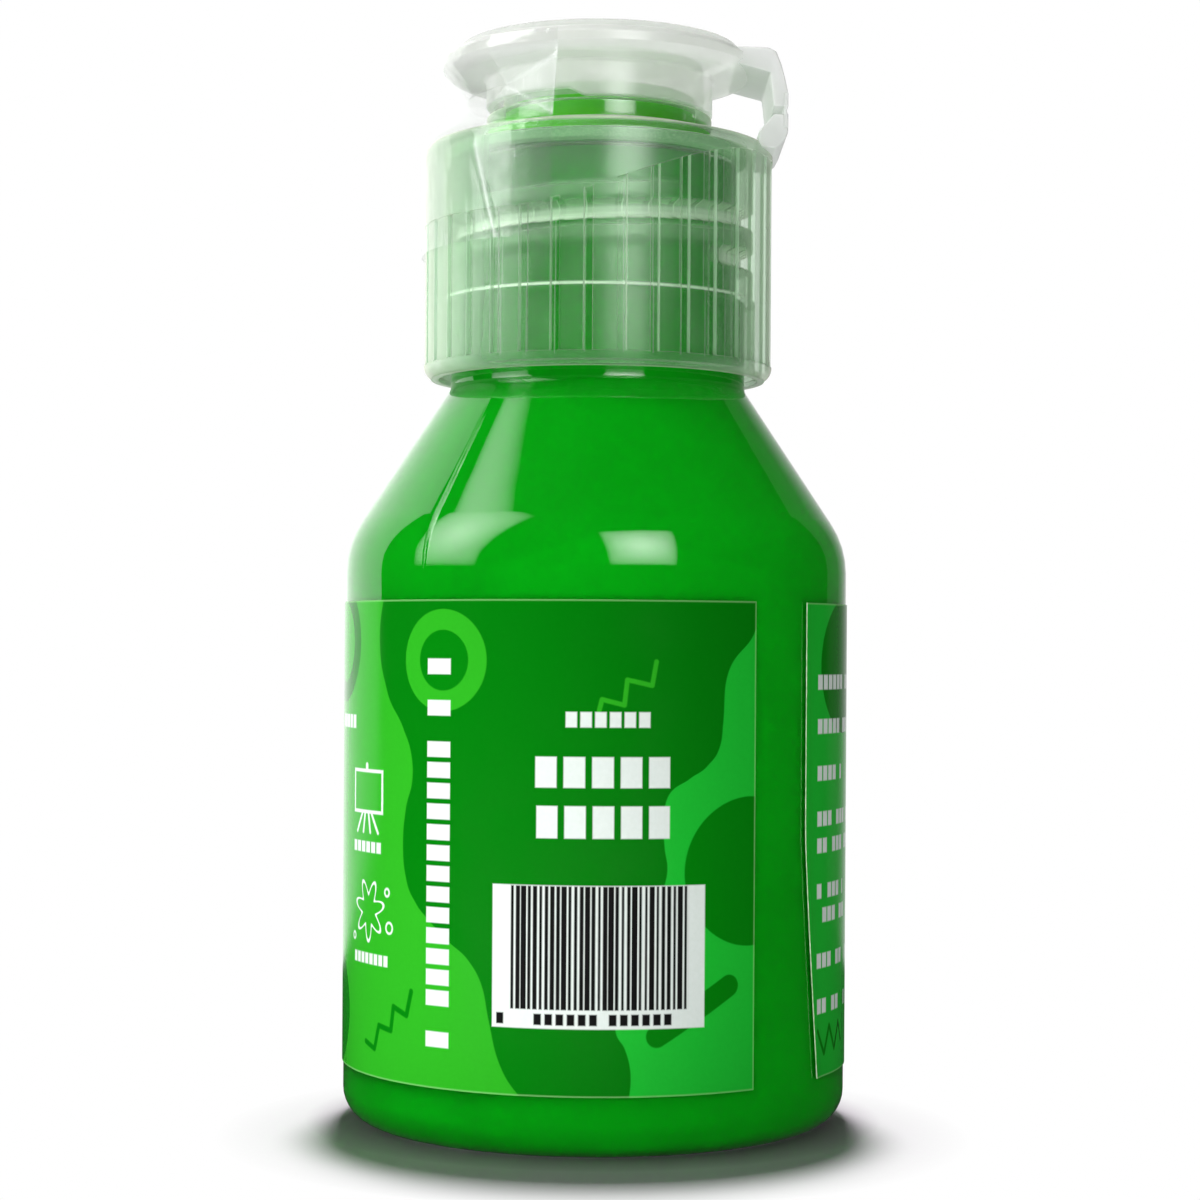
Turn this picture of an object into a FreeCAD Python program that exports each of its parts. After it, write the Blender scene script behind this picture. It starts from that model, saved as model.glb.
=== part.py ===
import FreeCAD, Part
import math
import os
import re
import Sketcher

# A 60 ml clear bottle of acrylic paint with a screw-on flip-top cap.
# The origin is the centre of the base, +Z is up, the lid's hinge is on +X and its thumb side on -X.
# An azimuth is measured from -Y, the front, towards +X.

DIMENSIONS = {
    # bottle: base, wall and shoulder
    "body_radius": 19.5,
    "wall": 0.45,
    "floor_thick": 0.7,
    "base_round": 2.6,
    "foot_inner": 14.4,
    "punt_height": 2.0,
    "shoulder_base": 44.6,
    "shoulder_top": 56.7,
    "shoulder_round": 7.0,
    "shoulder_inside": 44.46,
    "foot_round": 0.8,
    # bottle: neck and finish (24-410: 24 mm over the thread, 8 turns to the inch)
    "neck_radius": 11.5,
    "neck_step": 63.6,
    "root_radius": 10.85,
    "crest_radius": 11.85,
    "bore_radius": 9.5,
    "bore_base": 58.9,
    "finish_top": 74.5,
    "neck_round": 0.2,
    "finish_round": 0.3,
    "pitch": 3.175,
    "thread_sunk": 0.15,
    "thread_turns": 1.5,
    "thread_base": 66.14,
    "thread_azimuth": 202.0,
    "thread_root_width": 2.0,
    "thread_crest_width": 0.9,
    # paint
    "paint_gap": 0.02,
    "paint_top": 74.4,
    "spout_paint_base": 74.6,
    # label
    "label_base": 4.7,
    "label_top": 40.1,
    "label_thick": 0.1,
    "label_end_azimuth": 36.5,
    "label_start_azimuth": 52.3,
    "label_start_azimuth_base": 57.8,
    "label_slant_top": 23.0,
    "label_cut_margin": 1.0,
    # gasket
    "gasket_inner": 9.3,
    "gasket_outer": 11.6,
    "gasket_gap": 0.02,
    # cap: skirt and deck
    "cap_radius": 13.6,
    "cap_bore": 12.1,
    "cap_base": 57.5,
    "cap_edge": 75.5,
    "deck_under": 75.3,
    "deck_top": 76.6,
    "deck_flat": 9.4,
    "edge_round": 0.9,
    "base_edge_round": 1.1,
    # cap: grip grooves, under a line that sweeps up towards the hinge
    "groove_width": 0.65,
    "groove_depth": 0.28,
    "groove_base": 58.5,
    "groove_azimuth": -3.0,
    "sweep_low": 69.3,
    "sweep_rise": 5.2,
    "sweep_start": 58.0,
    "sweep_span": 92.0,
    # cap: thread
    "cap_crest": 11.15,
    "cap_thread_turns": 1.4,
    "cap_thread_base": 66.35,
    "cap_thread_azimuth": 40.0,
    "cap_thread_root_width": 1.6,
    "cap_thread_crest_width": 0.8,
    # cap: spout
    "boss_radius": 8.8,
    "boss_top": 78.1,
    "boss_bore": 8.0,
    "boss_under": 77.3,
    "spout_radius": 7.5,
    "spout_top": 79.6,
    "spout_bore": 6.6,
    "spout_under": 78.6,
    "orifice_radius": 1.6,
    "spout_round": 0.3,
    # lid
    "lid_radius": 12.25,
    "lid_under": 81.0,
    "lid_rim_top": 83.45,
    "lid_top": 84.2,
    "lid_ceiling": 82.1,
    "skirt_radius": 8.85,
    "skirt_bore": 8.15,
    "skirt_base": 78.2,
    "skirt_step": 0.6,
    "step_place": 1.0,
    "cut_reach": 20.0,
    "groove_clearance": 1.0,
    "pin_radius": 1.3,
    "pin_tip_radius": 0.9,
    "pin_shoulder": 79.3,
    "pin_base": 78.75,
    # hinge: two lugs and the web between them
    "hinge_height": 77.8,
    "hinge_width": 11.0,
    "hinge_gap": 0.3,
    "lug_thick": 0.8,
    "lug_outside": 14.15,
    "lug_base": 75.2,
    "lug_sunk": 1.2,
    "lid_lug_sunk": 2.2,
    "web_thick": 0.3,
    "web_reach": 1.3,
    "web_notch": 0.12,
    "lid_lug_outside": 13.9,
    "lid_lug_knee": 81.3,
    "lid_lug_top": 82.5,
    # seal film
    "film_thick": 0.06,
    "film_gap": 0.05,
    "film_angle": 151.0,
    "film_valley_radius": 10.3,
    "film_valley": 79.2,
    "film_lap": 81.6,
    "film_lip": 0.5,
    "film_edge": 76.2,
    "film_base": 67.0,
}
GROOVES = 34

document = FreeCAD.newDocument("paint_bottle")
sheet = document.addObject("Spreadsheet::Sheet", "dims")
sheet.Label = "dims"
for row, (word, number) in enumerate(DIMENSIONS.items(), start=1):
    sheet.set(f"A{row}", word)
    sheet.set(f"B{row}", str(number))
    sheet.setAlias(f"B{row}", word)
document.recompute()


def linked(expression):
    """The expression with each dimension's name turned into a reference to the sheet."""
    return re.sub(
        r"[a-z_]+", lambda word: f"dims.{word[0]}" if word[0] in DIMENSIONS else word[0], expression)


def value(expression):
    """The number that an expression in the sheet's names gives."""
    number = sheet.evalExpression(linked(expression))
    return float(getattr(number, "Value", number))


def new_body(name):
    body = document.addObject("PartDesign::Body", name)
    body.Label = name
    return body


def origin_plane(body, role):
    return next(feature for feature in body.Origin.OriginFeatures if feature.Role == role)


def arc_between(start, end, radius, turn):
    """The arc of a radius from start to end that turns left (1) or right (-1) on its way."""
    chord = end - start
    middle = start + chord * 0.5
    left = FreeCAD.Vector(-chord.y, chord.x, 0).normalize()
    rise = math.sqrt(radius ** 2 - (chord.Length / 2) ** 2)
    centre = middle + left * rise * turn
    first, last = (start, end) if turn > 0 else (end, start)
    angles = [math.atan2(point.y - centre.y, point.x - centre.x) for point in (first, last)]
    circle = Part.Circle(centre, FreeCAD.Vector(0, 0, 1), radius)
    return Part.ArcOfCircle(circle, angles[0], angles[1])


def dome(reach, rise):
    """The radius of an arc that crosses the axis squarely and drops by rise over reach."""
    return f"(({reach}) ^ 2 + ({rise}) ^ 2) / (2 * ({rise}))"


def outline(body, name, plane, corners, arcs=None, azimuth=0.0):
    """A closed sketch. Each corner is a pair of expressions, and a side is straight unless arcs
    gives the radius and turn of the one that starts at that corner."""
    arcs = arcs or {}
    sketch = body.newObject("Sketcher::SketchObject", name)
    sketch.AttachmentSupport = (origin_plane(body, plane), [""])
    sketch.MapMode = "FlatFace"
    turned = FreeCAD.Rotation(FreeCAD.Vector(0, 1, 0), azimuth)
    sketch.AttachmentOffset = FreeCAD.Placement(FreeCAD.Vector(), turned)
    points = [FreeCAD.Vector(value(across), value(up), 0) for across, up in corners]
    ends = []
    for index, start in enumerate(points):
        end = points[(index + 1) % len(points)]
        if index in arcs:
            radius, turn = arcs[index]
            sketch.addGeometry(arc_between(start, end, value(radius), turn))
            ends.append((1, 2) if turn > 0 else (2, 1))
        else:
            sketch.addGeometry(Part.LineSegment(start, end))
            ends.append((1, 2))
    for index in range(len(points)):
        following = (index + 1) % len(points)
        sketch.addConstraint(Sketcher.Constraint(
            "Coincident", index, ends[index][1], following, ends[following][0]))
    for index, (across, up) in enumerate(corners):
        vertex = ends[index][0]
        bind(sketch, "DistanceX", index, vertex, across, -2)
        bind(sketch, "DistanceY", index, vertex, up, -1)
    for index, (radius, turn) in arcs.items():
        number = sketch.addConstraint(Sketcher.Constraint("Radius", index, value(radius)))
        sketch.setExpression(f"Constraints[{number}]", linked(radius))
    return sketch


def bind(sketch, kind, index, vertex, expression, axis):
    """Hold one coordinate of a corner: on the sketch's axis, or at a distance from the sheet."""
    if expression == "0":
        sketch.addConstraint(Sketcher.Constraint("PointOnObject", index, vertex, axis))
        return
    constraint = Sketcher.Constraint(kind, -1, 1, index, vertex, value(expression))
    number = sketch.addConstraint(constraint)
    sketch.setExpression(f"Constraints[{number}]", linked(expression))


def revolve(body, name, sketch, angle="360", both_sides=False):
    feature = body.newObject("PartDesign::Revolution", name)
    feature.Profile = sketch
    feature.ReferenceAxis = (sketch, ["V_Axis"])
    feature.Midplane = both_sides
    feature.setExpression("Angle", linked(angle))
    document.recompute()
    return feature


def pad_both_sides(body, name, sketch, length):
    feature = body.newObject("PartDesign::Pad", name)
    feature.Profile = sketch
    feature.SideType = "Symmetric"
    feature.setExpression("Length", linked(length))
    document.recompute()
    return feature


def round_rings(body, name, rings, radius):
    """Round the circular edges of a body's tip that lie at the given (radius, height) pairs."""
    tip = body.Tip
    wanted = [(value(across), value(up)) for across, up in rings]
    names = []
    for number, edge in enumerate(tip.Shape.Edges, start=1):
        if edge.Degenerated or not isinstance(edge.Curve, Part.Circle):
            continue
        place = (edge.Curve.Radius, edge.Curve.Center.z)
        if any(math.dist(place, ring) < 0.01 for ring in wanted):
            names.append(f"Edge{number}")
    if len(names) < len(rings):
        raise RuntimeError(f"{name}: an edge to round is missing")
    feature = body.newObject("PartDesign::Fillet", name)
    feature.Base = (tip, names)
    feature.setExpression("Radius", linked(radius))
    document.recompute()
    return feature


def add_thread(body, name, wall, crest, base, root_width, crest_width, turns, azimuth):
    """A right-hand helical ridge that stands on a wall and points to its crest."""
    sunk = "- thread_sunk" if value(crest) > value(wall) else "+ thread_sunk"
    corners = [
        (f"{wall} {sunk}", f"{base} - {root_width} / 2"),
        (crest, f"{base} - {crest_width} / 2"),
        (crest, f"{base} + {crest_width} / 2"),
        (f"{wall} {sunk}", f"{base} + {root_width} / 2"),
    ]
    sketch = outline(body, f"{name}_profile", "XZ_Plane", corners, azimuth=value(azimuth) - 90)
    feature = body.newObject("PartDesign::AdditiveHelix", name)
    feature.Profile = sketch
    feature.ReferenceAxis = (sketch, ["V_Axis"])
    feature.Mode = "pitch-turns-angle"
    feature.setExpression("Pitch", linked("pitch"))
    feature.setExpression("Turns", linked(turns))
    feature.Angle = 0
    feature.LeftHanded = False
    feature.Reversed = False
    document.recompute()
    return feature


def make_bottle():
    """Base with a push-up and a foot ring, straight wall, cone, stepped neck and thread."""
    body = new_body("bottle")
    punt = dome("foot_inner", "punt_height")
    corners = [
        ("0", "punt_height"),
        ("foot_inner", "0"),
        ("body_radius", "0"),
        ("body_radius", "shoulder_base"),
        ("neck_radius", "shoulder_top"),
        ("neck_radius", "neck_step"),
        ("root_radius", "neck_step"),
        ("root_radius", "finish_top"),
        ("bore_radius", "finish_top"),
        ("bore_radius", "bore_base"),
        ("body_radius - wall", "shoulder_inside"),
        ("body_radius - wall", "floor_thick"),
        ("foot_inner", "floor_thick"),
        ("0", "punt_height + floor_thick"),
    ]
    arcs = {0: (punt, -1), 12: (punt, 1)}
    revolve(body, "bottle_wall", outline(body, "bottle_profile", "XZ_Plane", corners, arcs))
    round_rings(body, "base_corner", [("body_radius", "0")], "base_round")
    round_rings(body, "base_corner_inside", [("body_radius - wall", "floor_thick")],
                "base_round - wall")
    round_rings(body, "foot_corner", [("foot_inner", "0")], "foot_round")
    round_rings(body, "shoulder_corner", [("body_radius", "shoulder_base")], "shoulder_round")
    round_rings(body, "shoulder_corner_inside", [("body_radius - wall", "shoulder_inside")],
                "shoulder_round - wall")
    round_rings(body, "neck_corner", [("neck_radius", "neck_step")], "neck_round")
    round_rings(body, "finish_corner", [("root_radius", "finish_top")], "finish_round")
    add_thread(body, "bottle_thread", "root_radius", "crest_radius", "thread_base",
               "thread_root_width", "thread_crest_width", "thread_turns", "thread_azimuth")
    return body


def make_paint():
    """The paint: the inside of the bottle, up into its neck."""
    body = new_body("paint_fill")
    corners = [
        ("0", "punt_height + floor_thick + paint_gap"),
        ("foot_inner", "floor_thick + paint_gap"),
        ("body_radius - wall - paint_gap", "floor_thick + paint_gap"),
        ("body_radius - wall - paint_gap", "shoulder_inside - paint_gap"),
        ("bore_radius - paint_gap", "bore_base - paint_gap"),
        ("bore_radius - paint_gap", "paint_top"),
        ("0", "paint_top"),
    ]
    arcs = {0: (dome("foot_inner", "punt_height"), -1)}
    sketch = outline(body, "paint_profile", "XZ_Plane", corners, arcs)
    revolve(body, "paint_volume", sketch)
    round_rings(body, "paint_base_corner",
                [("body_radius - wall - paint_gap", "floor_thick + paint_gap")],
                "base_round - wall - paint_gap")
    round_rings(body, "paint_shoulder_corner",
                [("body_radius - wall - paint_gap", "shoulder_inside - paint_gap")],
                "shoulder_round - wall")
    return body


def make_label():
    """A printed wrap: a strip of the bottle stays bare between its straight and slanted ends."""
    body = new_body("wrap_label")
    corners = [
        ("body_radius", "label_base"),
        ("body_radius + label_thick", "label_base"),
        ("body_radius + label_thick", "label_top"),
        ("body_radius", "label_top"),
    ]
    revolve(body, "label_band", outline(body, "label_profile", "XZ_Plane", corners))
    edge = "(body_radius + label_thick)"
    corners = [
        (f"{edge} * sin(label_end_azimuth)", "label_base - label_cut_margin"),
        (f"{edge} * sin(label_start_azimuth_base)", "label_base - label_cut_margin"),
        (f"{edge} * sin(label_start_azimuth)", "label_slant_top"),
        (f"{edge} * sin(label_start_azimuth)", "label_top + label_cut_margin"),
        (f"{edge} * sin(label_end_azimuth)", "label_top + label_cut_margin"),
    ]
    sketch = outline(body, "bare_strip", "XZ_Plane", corners)
    whole = body.Shape.Volume
    pocket = body.newObject("PartDesign::Pocket", "bare_strip_cut")
    pocket.Profile = sketch
    pocket.Type = "ThroughAll"
    pocket.Reversed = True
    document.recompute()
    if body.Shape.Volume > 0.99 * whole:
        raise RuntimeError("the strip between the label's ends was not cut")
    return body


def make_gasket():
    """The soft ring between the top of the neck and the underside of the cap's deck."""
    body = new_body("neck_gasket")
    corners = [
        ("gasket_inner", "finish_top + gasket_gap"),
        ("gasket_outer", "finish_top + gasket_gap"),
        ("gasket_outer", "deck_under - gasket_gap"),
        ("gasket_inner", "deck_under - gasket_gap"),
    ]
    revolve(body, "gasket_ring", outline(body, "gasket_profile", "XZ_Plane", corners))
    return body


def make_cap_blank():
    """The cap before its grip grooves: skirt, deck, spout, thread and lower hinge lug."""
    body = new_body("cap_blank")
    corners = [
        ("cap_bore", "cap_base"),
        ("cap_radius", "cap_base"),
        ("cap_radius", "cap_edge"),
        ("deck_flat", "deck_top"),
        ("boss_radius", "deck_top"),
        ("boss_radius", "boss_top"),
        ("spout_radius", "boss_top"),
        ("spout_radius", "spout_top"),
        ("orifice_radius", "spout_top"),
        ("orifice_radius", "spout_under"),
        ("spout_bore", "spout_under"),
        ("spout_bore", "boss_under"),
        ("boss_bore", "boss_under"),
        ("boss_bore", "deck_under"),
        ("cap_bore", "deck_under"),
    ]
    revolve(body, "cap_shell", outline(body, "cap_profile", "XZ_Plane", corners))
    round_rings(body, "cap_edge_round", [("cap_radius", "cap_edge")], "edge_round")
    round_rings(body, "cap_base_round", [("cap_radius", "cap_base")], "base_edge_round")
    round_rings(body, "boss_round", [("boss_radius", "boss_top")], "spout_round")
    round_rings(body, "spout_round", [("spout_radius", "spout_top")], "spout_round")
    add_thread(body, "cap_thread", "cap_bore", "cap_crest", "cap_thread_base",
               "cap_thread_root_width", "cap_thread_crest_width", "cap_thread_turns",
               "cap_thread_azimuth")
    outside = "lug_outside + web_thick"
    corners = [
        ("cap_radius - lug_sunk", "lug_base"),
        ("cap_radius", "lug_base"),
        (outside, "lug_base + lug_thick"),
        (outside, "hinge_height - web_reach"),
        ("lug_outside", "hinge_height - web_reach"),
        ("lug_outside", "hinge_height - hinge_gap"),
        ("lug_outside - lug_thick", "hinge_height - hinge_gap"),
        ("cap_radius - lug_sunk", "deck_top - web_thick"),
    ]
    pad_both_sides(body, "lower_lug", outline(body, "lower_lug_side", "XZ_Plane", corners),
                   "hinge_width")
    return body


def sweep_height(azimuth):
    """The height of the line over the grooves: low round the thumb side, high at the hinge."""
    from_thumb = abs((azimuth + 90 + 180) % 360 - 180)
    share = min(max((from_thumb - value("sweep_start")) / value("sweep_span"), 0), 1)
    return value("sweep_low") + value("sweep_rise") * share ** 2 * (3 - 2 * share)


def make_cap():
    """The cap: its blank with the grooves cut up to the sweeping line."""
    blank = make_cap_blank()
    grooves = []
    for number in range(GROOVES):
        azimuth = value("groove_azimuth") + number * 360 / GROOVES
        groove = document.addObject("Part::Box", f"groove_{number}")
        groove.setExpression("Length", linked("groove_width"))
        groove.setExpression("Width", linked("groove_depth + groove_clearance"))
        groove.Height = sweep_height(azimuth) - value("groove_base")
        outside = value("cap_radius + groove_clearance")
        corner = FreeCAD.Vector(-value("groove_width") / 2, -outside, 0)
        turned = FreeCAD.Rotation(FreeCAD.Vector(0, 0, 1), azimuth)
        up = FreeCAD.Vector(0, 0, value("groove_base"))
        groove.Placement = FreeCAD.Placement(turned.multVec(corner) + up, turned)
        grooves.append(groove)
    tools = document.addObject("Part::Compound", "grooves")
    tools.Links = grooves
    cap = document.addObject("Part::Cut", "cap_body")
    cap.Base = blank
    cap.Tool = tools
    cap.Label = "cap_body"
    document.recompute()
    return cap


def make_spout_paint():
    """Paint that has run up into the hollow of the spout."""
    body = new_body("spout_paint")
    corners = [
        ("0", "spout_paint_base"),
        ("boss_bore - paint_gap", "spout_paint_base"),
        ("boss_bore - paint_gap", "boss_under - paint_gap"),
        ("spout_bore - paint_gap", "boss_under - paint_gap"),
        ("spout_bore - paint_gap", "spout_under - paint_gap"),
        ("0", "spout_under - paint_gap"),
    ]
    revolve(body, "spout_paint_volume", outline(body, "spout_paint_profile", "XZ_Plane", corners))
    return body


def make_lid():
    """The lid: domed disc with a round rim, skirt, sealing pin and upper hinge lug."""
    body = new_body("flip_lid")
    rim = "(lid_rim_top - lid_under) / 2"
    rim_place = "lid_radius - (lid_rim_top - lid_under) / 2"
    corners = [
        ("0", "pin_base"),
        ("pin_tip_radius", "pin_base"),
        ("pin_radius", "pin_shoulder"),
        ("pin_radius", "lid_ceiling"),
        ("skirt_bore", "lid_ceiling"),
        ("skirt_bore", "skirt_base"),
        ("skirt_radius", "skirt_base"),
        ("skirt_radius", "lid_under"),
        (rim_place, "lid_under"),
        ("lid_radius", "lid_under + (lid_rim_top - lid_under) / 2"),
        (rim_place, "lid_rim_top"),
        ("0", "lid_top"),
    ]
    arcs = {8: (rim, 1), 9: (rim, 1), 10: (dome(rim_place, "lid_top - lid_rim_top"), 1)}
    revolve(body, "lid_shell", outline(body, "lid_profile", "XZ_Plane", corners, arcs))
    whole = body.Shape.Volume
    corners = [
        ("-1 * cut_reach", "skirt_base - skirt_step"),
        ("-1 * step_place", "skirt_base - skirt_step"),
        ("-1 * step_place", "skirt_base"),
        ("-1 * step_place - 2 * skirt_step", "skirt_base + skirt_step"),
        ("-1 * cut_reach", "skirt_base + skirt_step"),
    ]
    pocket = body.newObject("PartDesign::Pocket", "skirt_step_cut")
    pocket.Profile = outline(body, "skirt_step_side", "XZ_Plane", corners)
    pocket.SideType = "Symmetric"
    pocket.Type = "ThroughAll"
    document.recompute()
    if body.Shape.Volume >= whole:
        raise RuntimeError("the step in the lid's skirt was not cut")
    outside = "lug_outside + web_thick"
    corners = [
        ("lid_radius - lid_lug_sunk", "lid_under + web_thick"),
        ("lid_lug_outside - lug_thick", "lid_under - web_thick"),
        ("lug_outside - lug_thick", "hinge_height + hinge_gap"),
        ("lug_outside", "hinge_height + hinge_gap"),
        ("lug_outside", "hinge_height + web_reach"),
        (outside, "hinge_height + web_reach"),
        ("lid_lug_outside", "lid_lug_knee"),
        ("lid_radius + lug_sunk", "lid_lug_top"),
        ("lid_radius - lid_lug_sunk", "lid_lug_top + web_thick"),
    ]
    pad_both_sides(body, "upper_lug", outline(body, "upper_lug_side", "XZ_Plane", corners),
                   "hinge_width")
    return body


def make_hinge_web():
    """The living hinge: a thin web over both lugs, thinnest along the fold."""
    body = new_body("living_hinge")
    outside = "lug_outside + web_thick"
    corners = [
        ("lug_outside", "hinge_height - web_reach"),
        (outside, "hinge_height - web_reach"),
        (outside, "hinge_height - web_notch"),
        (f"{outside} - web_notch", "hinge_height"),
        (outside, "hinge_height + web_notch"),
        (outside, "hinge_height + web_reach"),
        ("lug_outside", "hinge_height + web_reach"),
    ]
    pad_both_sides(body, "hinge_web", outline(body, "hinge_web_side", "XZ_Plane", corners),
                   "hinge_width")
    return body


def make_film():
    """Clear seal film round the thumb side: over the lid's rim, into the gap, down the skirt."""
    body = new_body("seal_film")
    rim = "-1 * (lid_radius + film_gap)"
    skirt = "-1 * (cap_radius + film_gap)"
    corners = [
        (rim, "film_lap + film_lip"),
        (rim, "film_lap"),
        ("-1 * film_valley_radius", "film_valley"),
        (skirt, "film_edge"),
        (skirt, "film_base"),
        (f"{skirt} - film_thick", "film_base"),
        (f"{skirt} - film_thick", "film_edge"),
        ("-1 * film_valley_radius - 2 * film_thick", "film_valley"),
        (f"{rim} - film_thick", "film_lap"),
        (f"{rim} - film_thick", "film_lap + film_lip"),
    ]
    revolve(body, "film_band", outline(body, "film_profile", "XZ_Plane", corners), "film_angle",
            both_sides=True)
    return body


parts = [
    make_bottle(),
    make_paint(),
    make_label(),
    make_gasket(),
    make_cap(),
    make_spout_paint(),
    make_lid(),
    make_hinge_web(),
    make_film(),
]
document.recompute()

for item in document.Objects:
    if "Invalid" in item.State or "Error" in item.State:
        raise RuntimeError(f"{item.Label} failed: {item.State}")

os.makedirs("parts", exist_ok=True)
for part in parts:
    shape = part.Shape
    if shape.isNull() or not shape.isValid() or len(shape.Solids) != 1:
        raise RuntimeError(f"{part.Label} is not one valid solid")
    shape.exportStep(f"parts/{part.Label}.step")
    print(f"{part.Label}: {shape.Volume:.1f} mm3")
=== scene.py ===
import math
from functools import partialmethod

import bpy
from mathutils import Matrix, Vector, noise as space_noise


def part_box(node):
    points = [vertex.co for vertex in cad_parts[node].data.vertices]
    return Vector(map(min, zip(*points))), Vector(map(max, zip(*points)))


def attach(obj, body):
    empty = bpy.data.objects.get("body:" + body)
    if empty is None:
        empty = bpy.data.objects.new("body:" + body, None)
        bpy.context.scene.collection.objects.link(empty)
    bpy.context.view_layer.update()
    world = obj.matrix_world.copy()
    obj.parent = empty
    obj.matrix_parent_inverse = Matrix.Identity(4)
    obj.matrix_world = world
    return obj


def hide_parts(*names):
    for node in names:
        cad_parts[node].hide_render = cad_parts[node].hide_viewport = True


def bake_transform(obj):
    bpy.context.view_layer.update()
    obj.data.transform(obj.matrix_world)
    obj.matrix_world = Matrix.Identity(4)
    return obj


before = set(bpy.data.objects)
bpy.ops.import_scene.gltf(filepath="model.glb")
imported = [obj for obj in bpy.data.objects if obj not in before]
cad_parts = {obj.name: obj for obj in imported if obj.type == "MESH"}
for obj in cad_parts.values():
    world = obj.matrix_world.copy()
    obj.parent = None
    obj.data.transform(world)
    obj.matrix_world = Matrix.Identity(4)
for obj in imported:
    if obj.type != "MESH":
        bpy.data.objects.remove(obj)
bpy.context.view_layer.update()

# A 60 ml clear bottle of green acrylic paint with a screw-on flip-top cap and a printed wrap.
# Shapes are worked out in millimetres and turned into metres when a mesh is made.
# An azimuth is measured in degrees from -Y, the front, towards +X.

MM = 0.001


def span(node, axis):
    """The lowest and highest place of a CAD node along an axis, in millimetres."""
    low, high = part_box(node)
    return low[axis] / MM, high[axis] / MM


# ---- measures, in millimetres

BODY_R = span("bottle", 0)[1]
FINISH_TOP = span("bottle", 2)[1]
WALL, BASE = 0.45, 0.7
PUSH_R, PUSH_UP, PUSH_BOW = 14.4, 2.0, 1.1
FOOT_BEND, SHOULDER_BEND = 2.6, 7.0
SHOULDER_BASE, SHOULDER_TOP = 44.6, 56.7
STRAIGHT_WALL, STRAIGHT_ROW = (3.0, 42.0), 3.0
NECK_R, NECK_STEP = 11.5, 63.6
ROOT_R, CREST_R = 10.85, 11.85
BORE_R, BORE_BASE = 9.5, 58.9
PARTING = -39.7
WET = 0.02

# A thread's base, the azimuth of its start, its turns, and its widths at root and crest.
PITCH = 3.175
NECK_THREAD = (66.14, 202.0, 1.56, 2.0, 0.9)
CAP_THREAD = (66.35, 40.0, 1.4, 1.6, 0.8)
THREADS_LOW, THREADS_HIGH = 64.9, 72.4
THREAD_ROW = 0.11

LABEL_BASE, LABEL_TOP = span("wrap_label", 2)
LABEL_R = span("wrap_label", 1)[1]
LABEL_END, LABEL_START = 36.5, 52.3

GASKET_BASE, GASKET_TOP = span("neck_gasket", 2)
GASKET_R = span("neck_gasket", 0)[1]
GASKET_BORE = 9.3

CAP_R = span("cap_body", 1)[1]
CAP_BASE, SPOUT_TOP = span("cap_body", 2)
CAP_BORE, CAP_CREST = 12.1, 11.15
RELIEF, RELIEF_TOP = 0.2, 63.6
CAP_BAND_TOP, CAP_EDGE = 74.3, 75.5
DECK_FLAT, DECK_UNDER, DECK_TOP = 9.4, 75.3, 76.6
BOSS_R, BOSS_BORE = 8.8, 8.65
BOSS_UNDER, BOSS_TOP = 77.3, 78.1
SPOUT_R, SPOUT_BORE, SPOUT_UNDER = 7.5, 7.3, 78.6
ORIFICE_R = 1.6
SPOUT_PAINT_BASE = 74.6

GROOVES = 34
GROOVE_AZIMUTH, GROOVE_PITCH = -3.0, 360.0 / GROOVES
GROOVE_BASE, GROOVE_WIDTH, GROOVE_DEPTH = 58.5, 0.65, 0.28
RIB_SUNK = 0.08
SWEEP_LOW, SWEEP_RISE = 69.3, 5.2
SWEEP_START, SWEEP_SPAN = 58.0, 92.0

LID_R = span("flip_lid", 1)[1]
LID_TOP = span("flip_lid", 2)[1]
LID_UNDER, LID_RIM_TOP, LID_CEILING = 81.0, 83.45, 82.1
SKIRT_R, SKIRT_BORE = 8.85, 8.15
SKIRT_BASE, SKIRT_STEP = 78.2, 0.6
PIN_BASE, PIN_TAPER_TOP = 78.75, 79.3
PIN_TIP_R, PIN_R = 0.9, 1.3

HINGE_OUT = span("living_hinge", 0)[1]
HINGE_HALF = span("living_hinge", 1)[1]
HINGE_LOW, HINGE_HIGH = span("living_hinge", 2)
HINGE_Z = (HINGE_LOW + HINGE_HIGH) / 2
WEB_THICK = 0.3

# The film's line as (r, z) points, and the azimuths of its ends and of its tent's apex.
FILM_LIP = ((12.22, 82.5), (12.34, 82.0), (12.3, 81.5))
FILM_VALLEY = (10.35, 79.1)
FILM_SKIRT = ((13.5, 75.75), (13.72, 75.2), (13.72, 67.0))
FILM_FIRST, FILM_LAST = -165.5, -14.5
TENT = -42.0
TENT_END = ((12.3, 80.7), (13.45, 75.9))


# ---- meshes

def smooth(share):
    """0 to 1 with level ends."""
    share = min(max(share, 0.0), 1.0)
    return share * share * (3 - 2 * share)


def place(azimuth, r, z):
    """The point at an azimuth, a radius and a height."""
    turn = math.radians(azimuth)
    return Vector((r * math.sin(turn), -r * math.cos(turn), z))


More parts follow.
